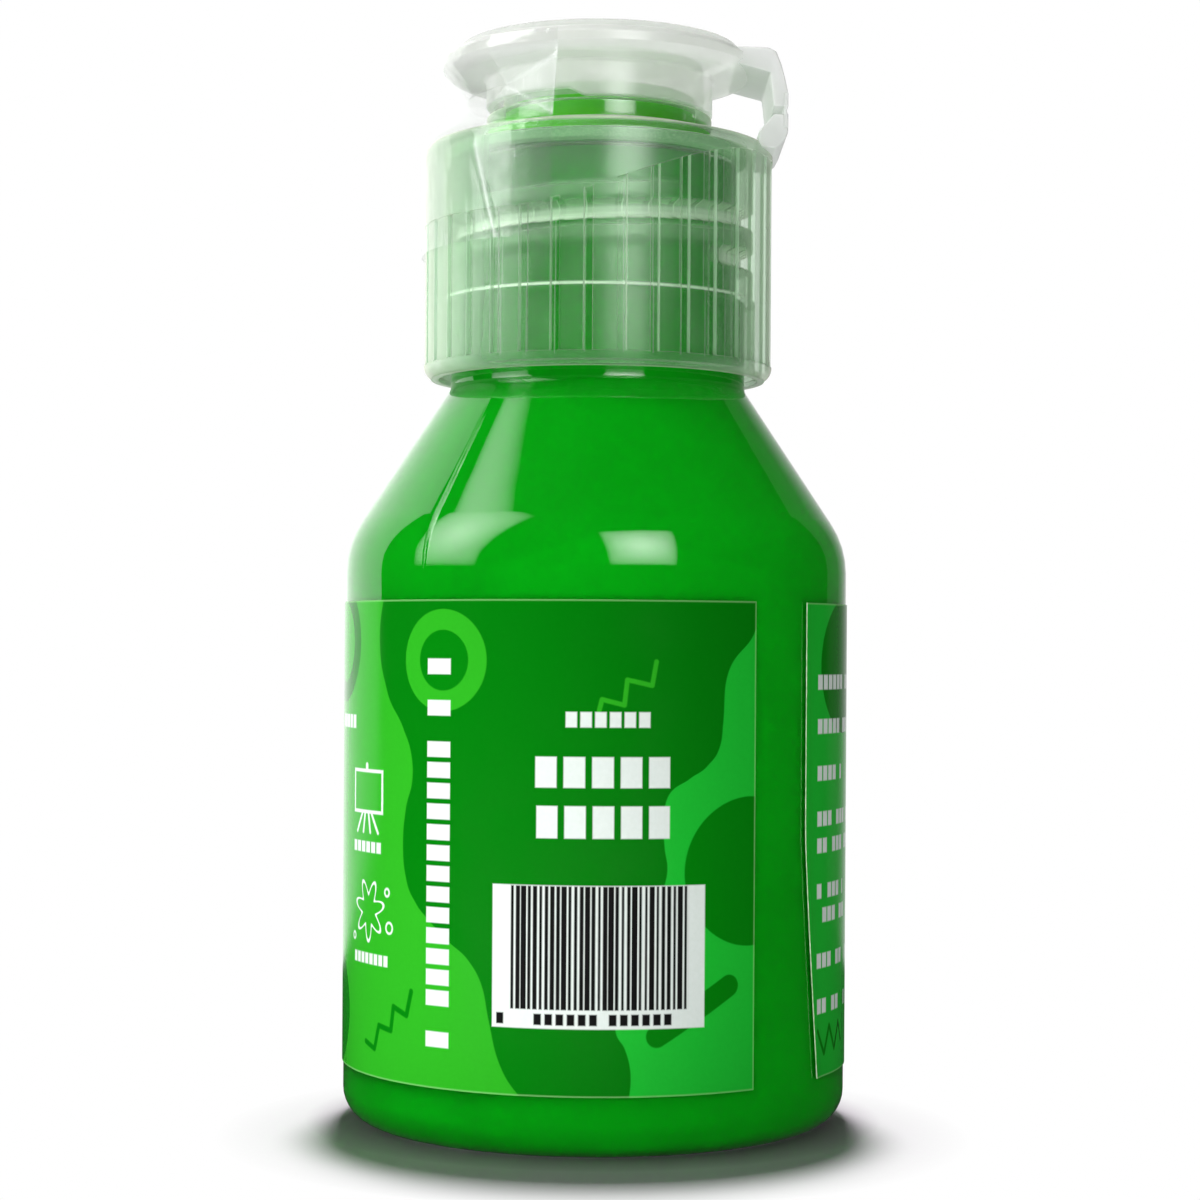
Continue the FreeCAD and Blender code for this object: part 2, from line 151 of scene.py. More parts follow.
def rounded(corners):
    """An outline of (r, z) points, with an arc wherever a corner gives a third number, its
    radius. A point that rests just before and after each arc keeps the flats flat."""
    step, rest = 11.0, 0.12
    points = []
    count = len(corners)
    for index, corner in enumerate(corners):
        here = Vector(corner[:2])
        radius = corner[2] if len(corner) > 2 else 0
        if not radius:
            points.append(tuple(here))
            continue
        before = Vector(corners[index - 1][:2]) - here
        after = Vector(corners[(index + 1) % count][:2]) - here
        room = min(before.length, after.length)
        before.normalize()
        after.normalize()
        opening = before.angle(after)
        reach = radius / math.tan(opening / 2)
        centre = here + (before + after).normalized() * radius / math.sin(opening / 2)
        turn = math.pi - opening
        pieces = max(2, math.ceil(math.degrees(turn) / step))
        first, last = here + before * reach - centre, here + after * reach - centre
        if reach + rest < room:
            points.append(tuple(here + before * (reach + rest)))
        for piece in range(pieces + 1):
            share = piece / pieces
            swing = (first * math.sin((1 - share) * turn) + last * math.sin(share * turn))
            points.append(tuple(centre + swing / math.sin(turn)))
        if reach + rest < room:
            points.append(tuple(here + after * (reach + rest)))
    return points


def bowed(start, end, rise, pieces):
    """Points from start to end along a shallow bow that stands square to the axis at start."""
    points = []
    for piece in range(pieces + 1):
        share = piece / pieces
        r = start[0] + (end[0] - start[0]) * share
        flat = start[1] + (end[1] - start[1]) * share
        points.append((r, flat + rise * (share - share * share)))
    return points


def steps(start, end, count):
    """Evenly spaced numbers after start, the last of them end."""
    return [start + (end - start) * step / count for step in range(1, count + 1)]


def denser(points, low, high, step):
    """The outline with long steep sides between two heights cut into short pieces."""
    result = []
    for point, following in zip(points, points[1:]):
        result.append(point)
        rise = following[1] - point[1]
        within = all(low - 0.01 <= z <= high + 0.01 for z in (point[1], following[1]))
        pieces = math.ceil(abs(rise) / step) if within else 1
        for piece in range(1, pieces):
            share = piece / pieces
            result.append((point[0] + (following[0] - point[0]) * share, point[1] + rise * share))
    return result + points[-1:]


def even_azimuths(count):
    return [360.0 * index / count for index in range(count)]


def make_piece(name, points, faces, material, sharp=32.0):
    """A mesh object from points in millimetres, with edges sharp from an angle up."""
    mesh = bpy.data.meshes.new(name)
    mesh.from_pydata([Vector(point) * MM for point in points], [], faces)
    mesh.validate()
    mesh.shade_smooth()
    mesh.set_sharp_from_angle(angle=math.radians(sharp))
    mesh.update()
    piece = bpy.data.objects.new(name, mesh)
    bpy.context.scene.collection.objects.link(piece)
    mesh.materials.append(material)
    return piece


def turned(name, outline, azimuths, material, closed=False, shape=None, sharp=32.0):
    """A mesh that turns an outline of (r, z) points round the axis. shape gives the radius and
    height of an outline's point at an azimuth. Points on the axis become poles."""
    points, rings = [], []
    count = len(azimuths)
    for index, (r, z) in enumerate(outline):
        if r < 1e-6:
            points.append(Vector((0, 0, z)))
            rings.append([len(points) - 1] * count)
            continue
        rings.append(range(len(points), len(points) + count))
        for azimuth in azimuths:
            new_r, new_z = shape(index, r, z, azimuth) if shape else (r, z)
            points.append(place(azimuth, new_r, new_z))
    faces = []
    for index in range(len(rings) if closed else len(rings) - 1):
        here, above = rings[index], rings[(index + 1) % len(rings)]
        for column in range(count):
            other = (column + 1) % count
            face = [here[column], here[other], above[other], above[column]]
            face = [corner for turn, corner in enumerate(face) if corner != face[turn - 1]]
            if len(face) > 2:
                faces.append(face)
    return make_piece(name, points, faces, material, sharp)


def two_layers(columns, rows, rising=True):
    """Faces over two layers of points, the inner one first, each with a column for each azimuth,
    whose points go up if rising. The second result is the first face of the layers' cut edges."""
    tall = rows + 1
    through = (columns + 1) * tall

    def face(corner, first, second):
        if not rising:
            first, second = second, first
        return [corner, corner + first, corner + first + second, corner + second]

    faces = []
    for column in range(columns):
        for row in range(rows):
            corner = column * tall + row
            faces += [face(corner, 1, tall), face(corner + through, tall, 1)]
    edges = len(faces)
    for column in range(columns):
        corner = column * tall
        faces += [face(corner, tall, through), face(corner + rows, through, tall)]
    for row in range(rows):
        faces += [face(row, through, 1), face(columns * tall + row, 1, through)]
    return faces, edges


def ridge(azimuth, z, thread, taper=26.0):
    """The share of a thread's full height at a point of the wall it stands on. A thread is the
    height and azimuth of its start, its turns and its widths at root and crest."""
    base, start, turns, root_width, crest_width = thread
    best = 0.0
    whole = 360.0 * turns
    angle = (azimuth - start) % 360.0
    while angle <= whole:
        offset = abs(z - base - PITCH * angle / 360.0)
        flank = (root_width / 2 - offset) / (root_width / 2 - crest_width / 2)
        ends = smooth(angle / taper) * smooth((whole - angle) / taper)
        best = max(best, min(max(flank, 0.0), 1.0) * ends)
        angle += 360.0
    return best


def lower_side(azimuth, z, thread):
    """1 on the lower flank of a thread, 0 on its upper flank."""
    reach = 0.3
    return 0.5 + (ridge(azimuth, z + reach, thread) - ridge(azimuth, z - reach, thread)) / 2


def store(piece, name, worth):
    """Keep a number with each point of a piece, worked out from its azimuth, radius and height."""
    numbers = piece.data.attributes.new(name, "FLOAT", "POINT")
    for vertex, item in zip(piece.data.vertices, numbers.data):
        x, y, z = vertex.co / MM
        item.value = worth(math.degrees(math.atan2(x, -y)), math.hypot(x, y), z)


# ---- nodes

def srgb(red, green, blue):
    """A colour from 0 to 255 as a linear RGBA value."""
    def linear(part):
        part /= 255.0
        return part / 12.92 if part <= 0.04045 else ((part + 0.055) / 1.055) ** 2.4
    return (linear(red), linear(green), linear(blue), 1.0)


class Field:
    """A number that a material's nodes work out, written as ordinary arithmetic."""

    def __init__(self, tree, value):
        self.tree = tree
        self.value = value

    def math(self, operation, *others):
        """The result of a Math node on this field and others."""
        node = self.tree.nodes.new("ShaderNodeMath")
        node.operation = operation
        for index, item in enumerate((self, *others)):
            connect(self.tree, item, node.inputs[index])
        return Field(self.tree, node.outputs[0])

    __add__ = partialmethod(math, "ADD")
    __sub__ = partialmethod(math, "SUBTRACT")
    __mul__ = partialmethod(math, "MULTIPLY")
    __truediv__ = partialmethod(math, "DIVIDE")
    __abs__ = partialmethod(math, "ABSOLUTE")
    power = partialmethod(math, "POWER")
    least = partialmethod(math, "MINIMUM")
    most = partialmethod(math, "MAXIMUM")

    def ranged(self, low, high, new_low, new_high, kind="LINEAR"):
        """Low to high made new_low to new_high, and held there beyond them."""
        node = add_node(self.tree, "MapRange", {"interpolation_type": kind}, Value=self,
                        From_Min=low, From_Max=high, To_Min=new_low, To_Max=new_high)
        return Field(self.tree, node.outputs[0])

    def bump(self, depth, strength):
        """The normal of a surface that rises and falls with the field."""
        return shader(self.tree, "Bump", Strength=strength, Distance=depth, Height=self)


def connect(tree, item, socket):
    """Feed a socket from a field, another socket or a plain value."""
    item = item.value if isinstance(item, Field) else item
    if isinstance(item, bpy.types.NodeSocket):
        tree.links.new(item, socket)
    else:
        socket.default_value = item


def new_material(name):
    """A material without nodes, and its tree."""
    material = bpy.data.materials.new(name)
    material.use_nodes = True
    material.node_tree.nodes.clear()
    return material, material.node_tree


def add_node(tree, kind, settings=None, **inputs):
    """A node with its settings, and its inputs by name (an underscore stands for a space)."""
    node = tree.nodes.new("ShaderNode" + kind)
    for word, item in (settings or {}).items():
        setattr(node, word, item)
    for word, item in inputs.items():
        connect(tree, item, node.inputs[word.replace("_", " ")])
    return node


def shader(tree, kind, **inputs):
    """The first output of a new node."""
    return add_node(tree, kind, **inputs).outputs[0]


def mix_colour(tree, share, first, second, blend="MIX"):
    """A mix of two colours, as a socket."""
    node = add_node(tree, "Mix", {"data_type": "RGBA", "blend_type": blend})
    for index, item in ((0, share), (6, first), (7, second)):
        connect(tree, item, node.inputs[index])
    return node.outputs[2]


def position(tree):
    """The object's own coordinates, in metres."""
    return add_node(tree, "TexCoord").outputs["Object"]


def coordinates(tree):
    """The same as three fields, x, y and z."""
    split = add_node(tree, "SeparateXYZ", Vector=position(tree))
    return [Field(tree, socket) for socket in split.outputs]


def distance(across, up):
    """How far it is to go so far across and so far up."""
    return (across * across + up * up).math("SQRT")


def stored(tree, name):
    """A number that is kept with each point of the piece."""
    node = add_node(tree, "Attribute", {"attribute_name": name})
    return Field(tree, node.outputs["Fac"])


def turned_away(tree, normal):
    """0 where a surface faces the eye, 1 where it is seen edge on."""
    node = add_node(tree, "LayerWeight", Blend=0.5, Normal=normal)
    return Field(tree, node.outputs["Facing"])


def noise(tree, scale, detail=3.0, stretch=(1, 1, 1), roughness=0.5):
    """Noise from 0 to 1 whose grain is about 1 / scale metres. A stretch below 1 draws it out."""
    mapping = add_node(tree, "Mapping", Vector=position(tree), Scale=stretch)
    node = add_node(tree, "TexNoise", Vector=mapping.outputs[0], Scale=scale, Detail=detail,
                    Roughness=roughness)
    return Field(tree, node.outputs["Fac"])


def output(tree, surface, kind="Material"):
    add_node(tree, "Output" + kind, Surface=surface)


def mixed(tree, share, first, second):
    """A mix of two shaders."""
    mix = tree.nodes.new("ShaderNodeMixShader")
    for socket, item in zip(mix.inputs, (share, first, second)):
        connect(tree, item, socket)
    return mix.outputs[0]


def lets_light_through(tree, surface, tint):
    """The shader, but clear to shadow rays, so that lamps light what is behind it."""
    clear = shader(tree, "BsdfTransparent", Color=tint)
    rays = add_node(tree, "LightPath")
    return mixed(tree, rays.outputs["Is Shadow Ray"], surface, clear)


# ---- materials

def clear_pet():
    """Blow-moulded PET: glossy, faintly wavy, duller on the neck, scuffed on the thread."""
    material, tree = new_material("clear_pet")
    waves = noise(tree, 160, 2.0, (1, 1, 0.35))
    neck_base = (SHOULDER_TOP + 0.8) * MM
    neck = coordinates(tree)[2].ranged(neck_base, neck_base + 0.0015, 0, 0.14)
    roughness = noise(tree, 900, 4.0).ranged(0.3, 0.8, 0.01, 0.035) + neck
    shell = shader(tree, "BsdfPrincipled", Base_Color=(0.985, 0.995, 0.985, 1), IOR=1.5,
                   Transmission_Weight=1.0, Roughness=roughness,
                   Normal=waves.bump(0.00006, 0.5))
    scuffed = shader(tree, "BsdfPrincipled", Base_Color=(0.62, 0.78, 0.62, 1), Roughness=0.5)
    worn = stored(tree, "crest") * waves.ranged(0.3, 0.7, 0.35, 0.5)
    surface = mixed(tree, worn, shell, scuffed)
    output(tree, lets_light_through(tree, surface, (0.97, 0.99, 0.97, 1)))
    return material


def green_paint(name, painted_brightness=1.0):
    """Wet acrylic paint: one strong green with slow drifts. The gloss over it is the bottle's.
    A brightness above 1 is painted light, a lit copy of the same paint.
    """
    material, tree = new_material(name)
    drift = noise(tree, 55, 3.0, (1, 1, 1.6)).ranged(0.3, 0.7, 0, 1)
    fine = noise(tree, 420, 3.0).ranged(0.35, 0.65, 0, 1)
    # Painted light: a brightness above 1 also pales the green a little.
    thin = (painted_brightness - 1.0) * 0.06
    colour = mix_colour(tree, drift, (0.0004 + thin, 0.220 * painted_brightness, 0.0028, 1),
                        (0.0005 + thin, 0.255 * painted_brightness, 0.0036, 1))
    colour = mix_colour(tree, fine * 0.12, colour, (0.001 + thin, 0.30 * painted_brightness, 0.006, 1))
    output(tree, shader(tree, "BsdfPrincipled", Base_Color=colour, Roughness=0.5, IOR=1.3,
                        Specular_IOR_Level=0.0))
    return material


def foam():
    """Foamed polyethylene with fine closed cells, pale, and tinged with the paint below it."""
    material, tree = new_material("foam_gasket")
    cells = add_node(tree, "TexVoronoi", Vector=position(tree), Scale=4200.0)
    shade = Field(tree, cells.outputs["Distance"]).ranged(0, 0.8, 0, 1)
    colour = mix_colour(tree, shade, srgb(168, 204, 166), srgb(140, 182, 140))
    output(tree, shader(tree, "BsdfPrincipled", Base_Color=colour, Roughness=0.85,
                        Normal=shade.bump(0.00004, 0.5)))
    return material


def rib_mask(tree):
    """Where the cap's grooves, the side of each that is away from the front, and the whole ribbed
    zone are: 1 there, else 0."""
    x, y, z = coordinates(tree)
    blur = 0.05
    azimuth = x.math("ARCTAN2", y * -1) * (180 / math.pi)
    around = (azimuth - GROOVE_AZIMUTH + GROOVE_PITCH / 2 + 360.0).math("MODULO", GROOVE_PITCH)
    off = (around - GROOVE_PITCH / 2) * (math.pi * CAP_R / 180)
    outward = off * azimuth.math("SIGN")
    groove = abs(off).ranged(GROOVE_WIDTH / 2 - blur, GROOVE_WIDTH / 2 + blur, 1, 0)
    from_thumb = abs((azimuth + 90 + 180 + 360).math("MODULO", 360.0) - 180)
    line = from_thumb.ranged(SWEEP_START, SWEEP_START + SWEEP_SPAN, SWEEP_LOW,
                             SWEEP_LOW + SWEEP_RISE, "SMOOTHSTEP")
    height = z * (1 / MM)
    below = (line - height).ranged(-blur, blur, 0, 1)
    below = below * height.ranged(GROOVE_BASE - blur, GROOVE_BASE + blur, 0, 1)
    wall = abs(outward - GROOVE_WIDTH / 2).ranged(0.03, 0.09, 1, 0)
    return groove * below, wall * below, below


def natural_pp(name, haze, edge_haze, dull, tint, milk_and_glow, edge_milk_and_shade, passing, ribbed=False):
    """Natural polypropylene: clear enough to look through, milkier where a wall is seen edge on
    or is thick, with faint marks of the mould and small scuffs. Ribs are duller than smooth
    bands, a groove's thin wall is clearer, and the spout is glossier. Part of the milk colour is
    painted light: the cap's green stands in for the paint's light scattered in its wall. The
    edge colour is a painted shade, darker on walls seen edge on, and the ribbed cap's left side
    is made milkier as painted light from the left."""
    material, tree = new_material(name)
    drag_way = (1, 1, 0.02) if ribbed else (0.3, 0.3, 0.3)
    wavy, worn, patchy, rim_gloss = (0.1, 0.02, 0.25, 0.27) if ribbed else (0.02, 0.006, 0.05, 0.22)
    drag = noise(tree, 900, 2.0, drag_way)
    cloud = noise(tree, 240, 3.0)
    scuffs = noise(tree, 1500, 6.0, (1, 1, 0.6), 0.65)
    normal = drag.bump(0.00002, wavy)
    roughness = scuffs.ranged(0.35, 0.75, dull - worn, dull + worn)
    away = turned_away(tree, normal)
    shine = away.power(5.0) * rim_gloss + 0.028
    edge_on = away.power(2.5)
    share = (cloud + drag * 0.5).ranged(0.5, 1.0, haze * (1 - patchy), haze * (1 + patchy))
    share = share + edge_on * edge_haze
    # Painted shade: walls seen edge on take the darker edge colour.
    milk_and_glow = mix_colour(tree, edge_on, milk_and_glow, edge_milk_and_shade)
    if ribbed:
        x, _, z = coordinates(tree)
        groove, wall, below = rib_mask(tree)
        thick = stored(tree, "thick")
        # Painted light: the cap's left side, towards the left lamp, is made milkier and so paler.
        painted_light_edge, fade = -0.0105, 0.004
        painted_light_on_left = x.ranged(painted_light_edge, painted_light_edge + fade, 0.20, 0)
        share = (share - below * 0.04) * (groove * -0.6 + 1) + wall * 0.3 + thick + painted_light_on_left
        milk_and_glow = mix_colour(tree, thick.least(1.0).most(0.0), milk_and_glow, (0.82, 0.88, 0.80, 1))
        spout = z.ranged((DECK_TOP + 0.2) * MM, (DECK_TOP + 0.4) * MM, 0, 1)
        roughness = roughness + below * 0.10 - groove * 0.08 - spout * 0.14
        shine = shine + spout * 0.03
        above_rim = z.ranged(GROOVE_BASE * MM, (GROOVE_BASE + 2) * MM, 0, 1)
        passing = mix_colour(tree, above_rim, (0.34, 0.40, 0.34, 1), passing)
    clear = shader(tree, "BsdfTransparent", Color=tint)
    body = shader(tree, "BsdfPrincipled", Base_Color=milk_and_glow, IOR=1.45, Roughness=0.6,
                  Normal=normal, Specular_IOR_Level=0.0, Subsurface_Weight=0.6,
                  Subsurface_Radius=(1.0, 1.0, 1.0), Subsurface_Scale=0.0015)
    gloss = shader(tree, "BsdfGlossy", Color=(1, 1, 1, 1), Roughness=roughness, Normal=normal)
    surface = mixed(tree, shine, mixed(tree, share.least(0.95), clear, body), gloss)
    output(tree, lets_light_through(tree, surface, passing))
    return material


def clear_film():
    """Thin shrink film: it hides nothing, and shows by its gloss and its whitened folds."""
    material, tree = new_material("clear_film")
    normal = noise(tree, 260, 3.0, (1, 1, 0.5)).bump(0.00006, 0.3)
    clear = shader(tree, "BsdfTransparent", Color=(0.985, 0.99, 0.985, 1))
    veil = shader(tree, "BsdfDiffuse", Color=(0.85, 0.88, 0.86, 1), Normal=normal)
    gloss = shader(tree, "BsdfGlossy", Color=(1, 1, 1, 1), Roughness=0.16, Normal=normal)
    whitened = mixed(tree, stored(tree, "fold") * 0.6 + 0.012, clear, veil)
    shine = turned_away(tree, normal).power(5.0) * 0.5 + 0.02
    output(tree, mixed(tree, shine, whitened, gloss))
    return material


# ---- the label's printed art

class Print:
    """Flat inks on the label. u runs round the bottle from the front, v up it, in millimetres.
    A shape is a distance: negative inside, positive outside."""

    EDGE = 0.05

    def __init__(self, tree, ground):
        self.tree = tree
        self.colour = ground
        x, y, z = coordinates(tree)
        self.u = x.math("ARCTAN2", y * -1) * LABEL_R
        self.v = z * (1 / MM)

    def ink(self, shape, colour, cover=1.0):
        """Print a shape over what is there."""
        share = shape.ranged(self.EDGE, -self.EDGE, 0, cover)
        self.colour = mix_colour(self.tree, share, self.colour, colour)

    def disc(self, u, v, radius):
        return distance(self.u - u, self.v - v) - radius

    def band(self, along, low, high):
        """A stripe between two places along a field."""
        return abs(along - (low + high) / 2) - (high - low) / 2

    def box(self, low_u, high_u, low_v, high_v):
        return self.band(self.u, low_u, high_u).most(self.band(self.v, low_v, high_v))

    def capsule(self, start, end, radius):
        """A line with round ends."""
        along = Vector(end) - Vector(start)
        length = along.length
        along.normalize()
        across, up = self.u - start[0], self.v - start[1]
        reach = (across * along.x + up * along.y).most(0.0).least(length)
        return distance(across - reach * along.x, up - reach * along.y) - radius

    def broken_line(self, points, width):
        """A line through its points."""
        shape, *others = [self.capsule(start, end, width / 2)
                          for start, end in zip(points, points[1:])]
        for line in others:
            shape = shape.least(line)
        return shape

    def shore(self, points, around=None):
        """How far round a place is from an edge that goes up the label through (v, u) points.
        around is another way of counting round the label, instead of u."""
        low_v, high_v = points[0][0], points[-1][0]
        low_u = min(u for v, u in points)
        high_u = max(u for v, u in points)
        curve = add_node(self.tree, "FloatCurve", Factor=1.0,
                         Value=self.v.ranged(low_v, high_v, 0, 1))
        bends = curve.mapping.curves[0].points
        while len(bends) < len(points):
            bends.new(0.5, 0.5)
        for bend, (v, u) in zip(bends, points):
            bend.location = ((v - low_v) / (high_v - low_v), (u - low_u) / (high_u - low_u))
            bend.handle_type = "AUTO"
        curve.mapping.update()
        edge = Field(self.tree, curve.outputs[0]) * (high_u - low_u) + low_u
        return (around or self.u) - edge

    def cells(self, along, size, seed):
        """A random number for each cell along a field, and the place within the cell."""
        index = (along / size).math("FLOOR")
        random = add_node(self.tree, "TexWhiteNoise", {"noise_dimensions": "1D"}, W=index + seed)
        return Field(self.tree, random.outputs["Value"]), (along / size).math("FRACT") * size

    def blocks(self, along, reach, across, height, size, gap, seed, empty=-1.0):
        """A row of plain blocks in place of print, with a share of them, empty, left out."""
        random, within = self.cells(along - reach[0], size, seed)
        block = self.band(within, gap / 2, size - gap / 2).most((random * -1 + empty) * 10)
        return block.most(self.band(along, *reach)).most(self.band(across, *height))


LEFT_SHORE = [(4.7, -5.3), (7.1, -6.9), (10.1, -7.7), (12.3, -8.2), (14.1, -9.3), (15.3, -10.9),
              (17.0, -13.1), (18.0, -14.2), (19.6, -15.2), (22.0, -15.6), (24.8, -15.3),
              (27.1, -14.6), (28.6, -14.7), (30.6, -15.6), (33.5, -17.7), (37.0, -18.7),
              (40.1, -18.2)]
RIGHT_SHORE = [(4.7, 2.6), (6.4, 2.7), (8.1, 2.3), (9.5, 1.6), (14.0, 1.9), (19.8, 5.1),
               (21.0, 5.3), (22.3, 5.1), (24.3, 5.0), (25.8, 5.2), (27.3, 6.9), (28.3, 8.4),
               (29.8, 9.4), (31.3, 9.6), (34.6, 9.9), (37.8, 12.3), (40.1, 13.2)]
BACK_SHORE = [(4.7, 21.0), (9.0, 19.5), (14.0, 21.5), (19.0, 25.5), (24.0, 26.0), (29.0, 23.0),
              (34.0, 18.5), (40.1, 16.0)]
ZIGZAG_FIRST = [(-20.5, 7.2), (-19.1, 6.8), (-18.5, 8.6), (-16.9, 8.4), (-16.6, 10.2),
                (-15.1, 9.7), (-14.6, 11.5)]
ZIGZAG_SECOND = [(0.3, 32.2), (0.5, 33.0), (2.1, 32.6), (2.3, 34.4), (4.1, 34.0), (4.4, 35.7)]
ZIGZAG_THIRD = [(19.9, 8.2), (21.2, 6.4), (22.2, 8.4), (23.4, 6.5), (24.5, 8.4), (25.4, 6.9)]
NOTE_ROWS = (34.2, 30.9, 27.4, 24.0, 22.0, 18.6, 16.8, 13.4, 10.0)


def draw_icons(art, white):
    """Two small pictures at the side, an easel and a splash, with rows of blocks under them."""
    board = art.box(-23.1, -18.1, 24.2, 27.5)
    art.ink(abs(board + 0.12) - 0.12, white)
    for top, foot in ((-21.4, -22.4), (-20.9, -21.2), (-20.3, -20.0), (-19.8, -18.8)):
        art.ink(art.capsule((top, 24.2), (foot, 22.8), 0.12), white)
    art.ink(art.capsule((-20.6, 27.5), (-20.6, 27.8), 0.2), white)

    across, up = art.u + 20.2, art.v - 17.0
    lobes = (up.math("ARCTAN2", across) * 7.0).math("SINE") * 0.55 + 1.75
    art.ink(abs(distance(across, up) - lobes) - 0.13, white)
    for u, v, radius in ((-17.5, 18.5, 0.28), (-17.2, 15.9, 0.4), (-22.9, 14.9, 0.25)):
        art.ink(abs(art.disc(u, v, radius)) - 0.08, white)

    for reach, height, size, gap, seed, empty in (
            ((-23.2, -18.3), (21.3, 22.1), 0.82, 0.2, 31.0, -1.0),
            ((-22.9, -17.3), (13.0, 13.8), 0.7, 0.18, 37.0, -1.0),
            ((-27.4, -22.8), (30.5, 31.5), 0.92, 0.22, 43.0, 0.1)):
        art.ink(art.blocks(art.u, reach, art.v, height, size, gap, seed, empty), white)


def draw_notes(art, white, deep):
    """The panel at the free end: rows of blocks of uneven length on light green."""
    for index, v in enumerate(NOTE_ROWS):
        reach = (19.7, 31.5 + 6.5 * math.sin(index * 2.3))
        height = (v - 0.55, v + 0.55)
        art.ink(art.blocks(art.u, reach, art.v, height, 0.95, 0.2, 50.0 + index, 0.16), white)
    art.ink(art.broken_line(ZIGZAG_THIRD, 0.34), deep)


def draw_back(art, dark, light, white):
    """The side away from the barcode: a shore to each side, rings and a tall block title."""
    back = abs(art.u) * -1 + math.pi * LABEL_R
    art.ink(art.shore(BACK_SHORE, back), dark)
    for away, v, radius, colour in ((0.0, 27.6, 7.6, light), (0.0, 27.6, 5.4, dark),
                                    (13.5, 12.2, 2.4, light), (13.5, 12.2, 1.2, dark)):
        art.ink(distance(back - away, art.v - v) - radius, colour)
    for height, reach, size in (((12.4, 15.4), 9.6, 2.4), ((8.6, 10.0), 7.2, 1.2)):
        art.ink(art.blocks(back, (-0.1, reach), art.v, height, size, size * 0.22, 61.0), white)


def draw_barcode(art, white):
    """Bars of random widths on a white panel, with plain blocks in place of the digits."""
    black = (0.006, 0.006, 0.006, 1)
    art.ink(art.box(-7.4, 8.2, 9.55, 19.75), white)
    pitch = 0.42
    random, within = art.cells(art.u + 6.1, pitch, 41.0)
    bars = abs(within - pitch / 2) - random * 0.15 - 0.085
    art.ink(bars.most(art.box(-6.1, 6.9, 10.9, 19.7)), black)
    size = 0.8
    for start, count in ((-7.2, 1), (-4.4, 6), (1.0, 6)):
        reach = (start, start + size * count)
        art.ink(art.blocks(art.u, reach, art.v, (9.8, 10.6), size, 0.25, 47.0), black)


def printed_label():
    """Satin film: dark green with light shores, rings, icons, and blocks in place of words."""
    material, tree = new_material("printed_label")
    dark = (0.0004, 0.134, 0.002, 1)
    deep = (0.0004, 0.148, 0.002, 1)
    left_light = (0.018, 0.295, 0.010, 1)
    right_light = (0.008, 0.36, 0.022, 1)
    white = (0.56, 0.61, 0.58, 1)
    art = Print(tree, dark)
    u, v = art.u, art.v

    art.ink(art.shore(LEFT_SHORE), left_light)
    art.ink(art.shore(RIGHT_SHORE) * -1, right_light)
    draw_back(art, dark, left_light, white)

    for at_u, at_v, radius, colour in (
            (-11.7, 35.7, 3.7, left_light), (-11.7, 35.7, 2.2, deep), (12.0, 20.6, 5.4, deep),
            (25.4, 35.4, 5.1, deep), (-28.6, 9.0, 4.4, deep)):
        art.ink(art.disc(at_u, at_v, radius), colour)
    art.ink(art.capsule((10.2, 12.4), (4.6, 9.0), 0.8), deep)
    art.ink(art.broken_line(ZIGZAG_FIRST, 0.42), deep)
    art.ink(art.broken_line(ZIGZAG_SECOND, 0.34), left_light)
    art.ink(art.disc(-26.5, 37.0, 4.6).most(art.disc(-26.5, 37.0, 3.1) * -1), deep)

    art.ink(art.blocks(v, (7.5, 36.0), u, (-13.1, -11.0), 1.5, 0.38, 3.0, 0.06), white)
    for reach, height, size, gap, seed in (
            ((-2.2, 4.1), (31.0, 32.1), 1.05, 0.24, 11.0),
            ((-4.5, 5.7), (26.7, 28.9), 2.04, 0.5, 17.0),
            ((-4.4, 5.7), (23.1, 25.4), 2.02, 0.5, 23.0)):
        art.ink(art.blocks(u, reach, v, height, size, gap, seed), white)
    draw_icons(art, white)
    draw_notes(art, white, deep)
    draw_barcode(art, white)

    rim = (v - LABEL_BASE).least(v * -1 + LABEL_TOP)
    rim = rim.least(abs(u - math.radians(LABEL_END) * LABEL_R))
    art.ink(rim - 0.11, (0.20, 0.46, 0.16, 1), 0.5)
    output_label(tree, art.colour)
    return material


def output_label(tree, printed):
    """The print with a fine grain in its ink and soft wear in its gloss."""
    grain = noise(tree, 3500, 4.0)
    wear = noise(tree, 300, 5.0)
    speck = grain.ranged(0.3, 0.7, 0, 0.12)
    colour = mix_colour(tree, speck, printed, (0.6, 0.7, 0.6, 1), "MULTIPLY")
    roughness = wear.ranged(0.3, 0.7, 0.12, 0.18)
    output(tree, shader(tree, "BsdfPrincipled", Base_Color=colour, Roughness=roughness,
                        Normal=(grain + wear).bump(0.00001, 0.4), IOR=1.45,
                        Specular_IOR_Level=0.10))


def label_core():
    """The pale cut edge of the label's film."""
    material, tree = new_material("label_core")
    fibre = noise(tree, 2600, 3.0).ranged(0.35, 0.65, 0, 1)
    colour = mix_colour(tree, fibre, srgb(150, 200, 140), srgb(205, 225, 195))
    output(tree, shader(tree, "BsdfPrincipled", Base_Color=colour, Roughness=0.7))
    return material


# ---- pieces

def finish_piece(piece, body, node):
    """Hang a piece on the body that moves it, and hide the CAD node that it stands for."""
    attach(piece, body)
    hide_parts(node)


def from_parting(azimuth):
    """How many degrees it is to the nearer half of the mould's parting line."""
    return abs((azimuth - PARTING + 90) % 180 - 90)


def around_parting(azimuths):
    """The azimuths with a few more close by each half of the mould's parting line."""
    near = [line + offset for line in (PARTING, PARTING + 180)
            for offset in (-0.9, -0.35, -0.12, 0.12, 0.35, 0.9)]
    kept = [azimuth for azimuth in azimuths if from_parting(azimuth) > 1.2]
    return sorted(azimuth % 360 for azimuth in kept + near)


